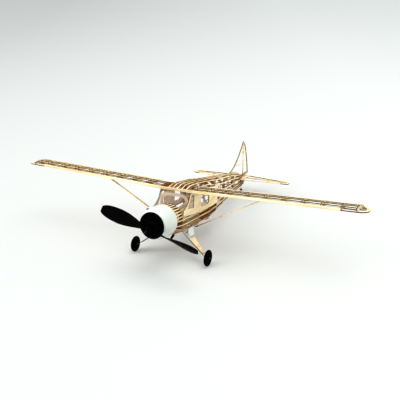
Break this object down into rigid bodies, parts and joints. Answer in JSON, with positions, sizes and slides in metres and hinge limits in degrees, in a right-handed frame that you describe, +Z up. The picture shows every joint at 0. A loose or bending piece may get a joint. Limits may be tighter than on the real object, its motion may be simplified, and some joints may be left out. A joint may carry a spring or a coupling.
{
  "type": "rubber-powered model aeroplane",
  "caption": "Uncovered balsa flying model of a high-wing, round-nosed bush plane with a rubber motor, free-turning propeller and rolling wheels.",
  "frame": {"origin": "on the ground under the middle of the object's box, with the model standing on its three wheels", "axes": "+X to port along the span, +Y towards the tail, +Z up; the nose points along -Y"},
  "size_m": [0.7618, 0.4952, 0.149],
  "materials": {
    "laser_cut_wood": "bare balsa sheet with laser-browned edges",
    "strip_wood": "bare balsa strip",
    "white_plastic": "glossy moulded sheet",
    "black_plastic": "moulded, semi-gloss",
    "engine_black": "moulded, satin black",
    "clear_plastic": "clear moulded sheet",
    "steel_wire": "dark music wire",
    "aluminium_tube": "drawn tube",
    "wheel_black": "satin black",
    "rubber_strip": "strip rubber, lubricated"
  },
  "bodies": {
    "airframe": {"engine_former": "laser_cut_wood", "nose_former": "laser_cut_wood", "windscreen_former": "laser_cut_wood", "roof_front_former": "laser_cut_wood", "cabin_former": "laser_cut_wood", "wing_rear_former": "laser_cut_wood", "rear_former_1": "laser_cut_wood", "rear_former_2": "laser_cut_wood", "rear_former_3": "laser_cut_wood", "rear_former_4": "laser_cut_wood", "rear_former_5": "laser_cut_wood", "tail_former": "laser_cut_wood", "bottom_keel": "laser_cut_wood", "cabin_side_port": "laser_cut_wood", "cabin_side_starboard": "laser_cut_wood", "cabin_floor": "laser_cut_wood", "nose_stringers": "strip_wood", "roof_stringers": "strip_wood", "side_stringers_port": "strip_wood", "side_stringers_starboard": "strip_wood", "belly_stringers": "strip_wood", "peg_plates": "laser_cut_wood", "motor_peg": "aluminium_tube", "cowl": "white_plastic", "intake_scoop": "white_plastic", "dummy_engine": "engine_black", "exhaust_stub": "engine_black", "windscreen": "clear_plastic", "side_windows": "clear_plastic", "wing_ribs_port": "laser_cut_wood", "wing_ribs_starboard": "laser_cut_wood", "leading_edge_port": "strip_wood", "leading_edge_starboard": "strip_wood", "trailing_edge_port": "laser_cut_wood", "trailing_edge_starboard": "laser_cut_wood", "wing_spars_port": "laser_cut_wood", "wing_spars_starboard": "laser_cut_wood", "wing_tip_port": "laser_cut_wood", "wing_tip_starboard": "laser_cut_wood", "centre_spars": "strip_wood", "wing_struts": "strip_wood", "strut_pins": "steel_wire", "tailplane_outline": "laser_cut_wood", "tailplane_edges_and_ribs": "strip_wood", "tailplane_centre_sheet": "laser_cut_wood", "fin_outline": "laser_cut_wood", "fin_post_and_ribs": "strip_wood", "gear_wires": "steel_wire", "leg_fairings": "strip_wood", "gear_cuffs": "white_plastic", "tail_wheel_wire": "steel_wire", "wheel_retainers": "steel_wire", "rubber_motor": "rubber_strip"},
    "nose_unit": {"nose_plug": "strip_wood", "thrust_button": "black_plastic"},
    "airscrew": {"prop_shaft": "steel_wire", "propeller": "black_plastic"},
    "left_wheel": {"wheel_port": "wheel_black"},
    "right_wheel": {"wheel_starboard": "wheel_black"},
    "rear_wheel": {"tail_wheel": "wheel_black"}
  },
  "joints": [
    {"name": "nose_slide", "type": "slide", "parent": "airframe", "child": "nose_unit", "axis": [0, -0.9979, 0.0642], "range_m": [0, 0.04], "deforming": ["rubber_motor"]},
    {"name": "prop_spin", "type": "hinge", "parent": "nose_unit", "child": "airscrew", "pos_m": [0, -0.23009, 0.09858], "axis": [0, -0.9979, 0.0642], "continuous": true, "deforming": ["rubber_motor"]},
    {"name": "left_wheel_spin", "type": "hinge", "parent": "airframe", "child": "left_wheel", "pos_m": [0.084, -0.15485, 0.0166], "axis": [1, 0, 0], "continuous": true},
    {"name": "right_wheel_spin", "type": "hinge", "parent": "airframe", "child": "right_wheel", "pos_m": [-0.084, -0.15485, 0.0166], "axis": [1, 0, 0], "continuous": true},
    {"name": "tail_wheel_spin", "type": "hinge", "parent": "airframe", "child": "rear_wheel", "pos_m": [0, 0.20338, 0.0055], "axis": [1, 0, 0], "continuous": true}
  ]
}
